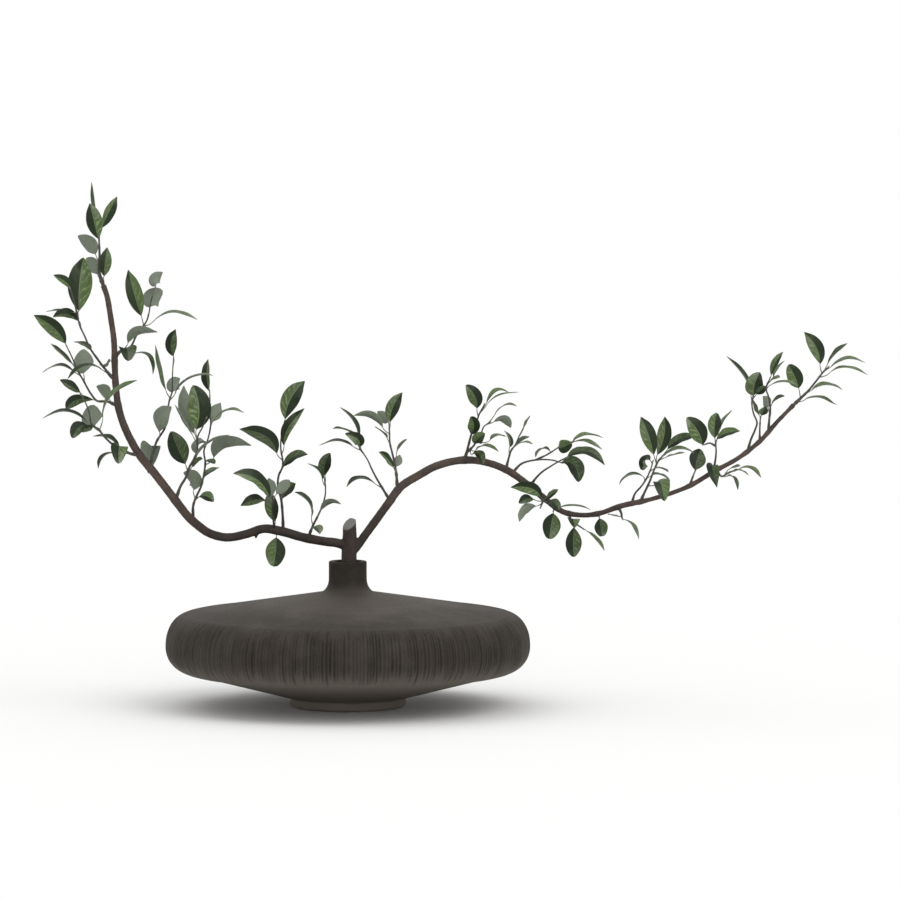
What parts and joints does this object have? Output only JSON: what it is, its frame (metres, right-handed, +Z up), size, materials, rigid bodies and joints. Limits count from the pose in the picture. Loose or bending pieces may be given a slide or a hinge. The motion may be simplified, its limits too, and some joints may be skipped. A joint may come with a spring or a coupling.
{
  "type": "ikebana arrangement",
  "caption": "Ikebana arrangement: a forked evergreen cutting with leafy sprigs standing in a low, wide stoneware vase with a narrow neck.",
  "frame": {"origin": "centre of the vase's foot, on the surface that it stands on", "axes": "+Z up; +X along the long right bough; -Y towards the side that it is looked at from"},
  "size_m": [0.9125, 0.4, 0.5744],
  "materials": {
    "stoneware": "matt dark grey-brown stoneware, combed round its widest part",
    "water": "clear still water",
    "bark": "thin dark reddish grey bark",
    "cut_wood": "split pale wood",
    "foliage": "leathery evergreen leaves, glossy above and matt pale below, on thin brown twigs"
  },
  "bodies": {
    "root": {"vase": "stoneware", "water": "water", "branch": "bark", "wedge_left": "cut_wood", "wedge_right": "cut_wood", "sprig_left_01": "foliage", "sprig_left_02": "foliage", "sprig_left_03": "foliage", "leaf_left_hanging": "foliage", "sprig_left_04": "foliage", "sprig_left_05": "foliage", "sprig_left_06": "foliage", "sprig_left_07": "foliage", "sprig_left_08": "foliage", "sprig_left_09": "foliage", "sprig_left_10": "foliage", "sprig_left_top": "foliage", "sprig_right_01": "foliage", "sprig_right_02": "foliage", "sprig_right_03": "foliage", "sprig_right_04": "foliage", "sprig_right_05": "foliage", "sprig_right_06": "foliage", "sprig_right_07": "foliage", "leaf_right_hanging_1": "foliage", "sprig_right_08": "foliage", "leaf_right_hanging_2": "foliage", "sprig_right_09": "foliage", "sprig_right_10": "foliage", "sprig_right_11": "foliage", "sprig_right_12": "foliage", "sprig_right_13": "foliage", "sprig_right_14": "foliage", "sprig_right_15": "foliage", "sprig_right_16": "foliage", "sprig_right_17": "foliage", "sprig_right_top": "foliage"}
  },
  "joints": []
}
